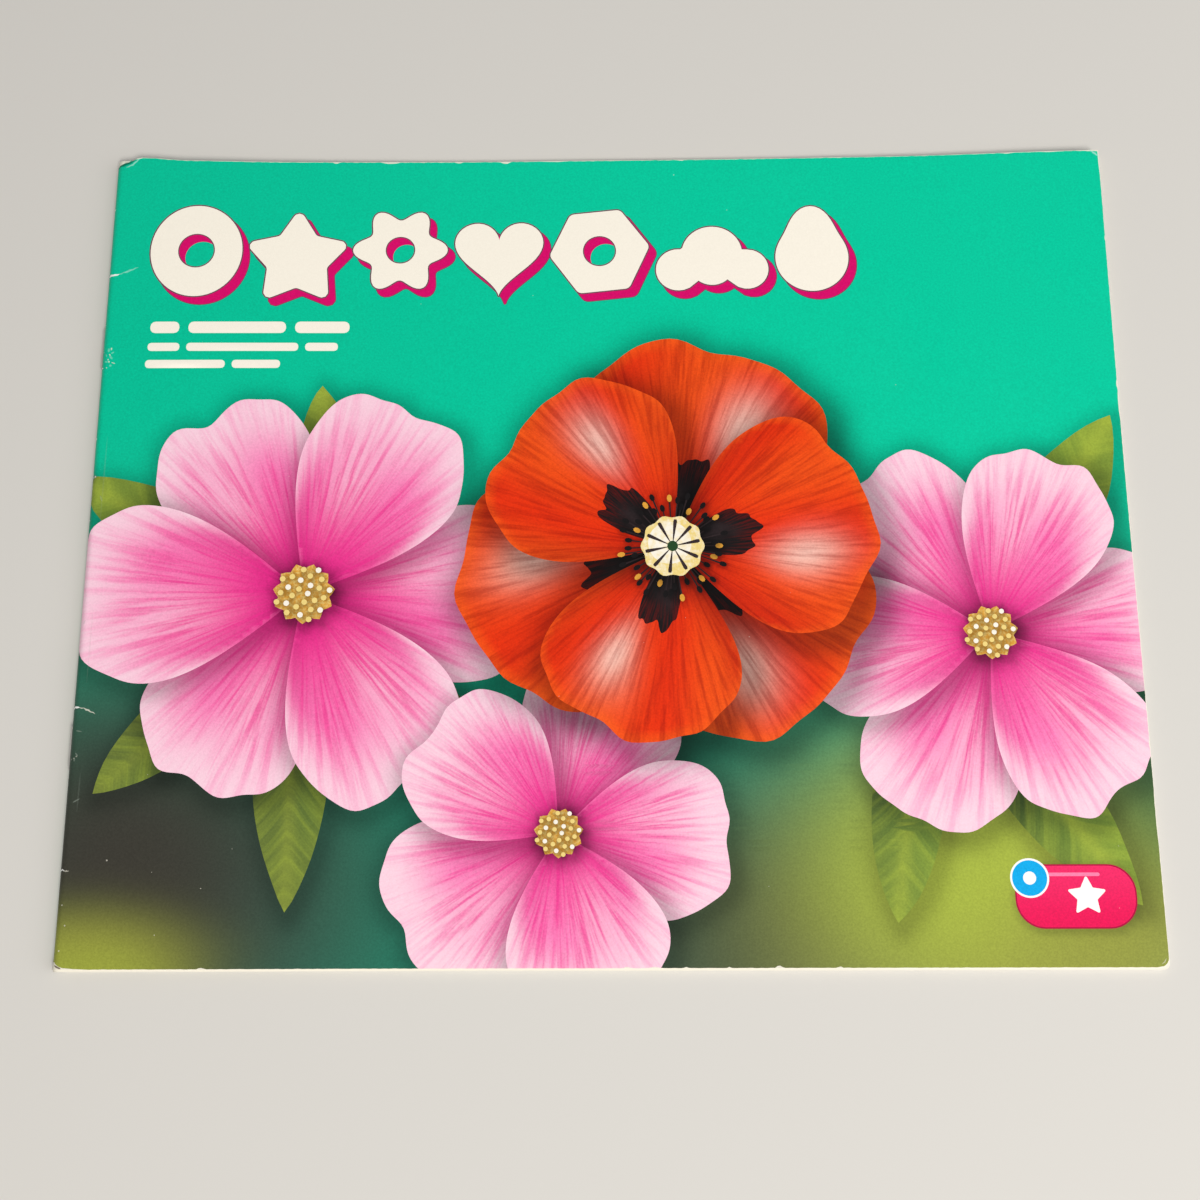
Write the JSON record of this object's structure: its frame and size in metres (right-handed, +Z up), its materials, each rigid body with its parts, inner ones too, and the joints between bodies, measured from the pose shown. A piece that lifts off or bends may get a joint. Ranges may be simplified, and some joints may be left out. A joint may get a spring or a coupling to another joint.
{
  "type": "stapled paperback picture book",
  "caption": "Thin landscape picture book for children: a folded card cover and folded paper sheets held by wire staples through the spine; the cover and the middle open flat.",
  "frame": {"origin": "under the middle of the closed book, on the surface that it lies on", "axes": "+X from the spine to the fore-edge, +Y from the tail to the head of the page, +Z up out of the front cover"},
  "size_m": [0.2224, 0.178, 0.0033],
  "materials": {
    "printed_card": "glossy film over offset print",
    "page_paper": "coated, satin",
    "staple_wire": "drawn wire, slightly dull"
  },
  "bodies": {
    "back_half": {"cover_back": "printed_card", "leaf_back_1": "page_paper", "leaf_back_2": "page_paper", "leaf_back_3": "page_paper", "leaf_back_4": "page_paper", "leaf_back_5": "page_paper", "leaf_back_6": "page_paper"},
    "front_half": {"cover_hinge": "printed_card", "leaf_front_1": "page_paper", "leaf_front_2": "page_paper", "leaf_front_3": "page_paper", "leaf_front_4": "page_paper", "leaf_front_5": "page_paper", "leaf_front_6": "page_paper"},
    "front_cover": {"cover_front": "printed_card"},
    "spine": {"cover_spine": "printed_card", "fold_1": "page_paper", "fold_2": "page_paper", "fold_3": "page_paper", "fold_4": "page_paper", "fold_5": "page_paper", "fold_6": "page_paper", "staple_1": "staple_wire", "staple_2": "staple_wire"}
  },
  "joints": [
    {"name": "middle_opening", "type": "hinge", "parent": "back_half", "child": "front_half", "pos_m": [-0.10913, 0, 0.00163], "axis": [0, -1, 0], "range_deg": [0, 179.9], "deforming": ["cover_spine", "fold_1", "fold_2", "fold_3", "fold_4", "fold_5", "fold_6"]},
    {"name": "spine_turn", "type": "hinge", "parent": "back_half", "child": "spine", "pos_m": [-0.10913, 0, 0.00163], "axis": [0, -1, 0], "range_deg": [0, 90]},
    {"name": "cover_opening", "type": "hinge", "parent": "front_half", "child": "front_cover", "pos_m": [-0.10806, 0, 0.00352], "axis": [0, -1, 0], "range_deg": [0, 179.9]}
  ],
  "couplings": [
    {"joint": "spine_turn", "follows": "middle_opening", "ratio": 0.5}
  ]
}
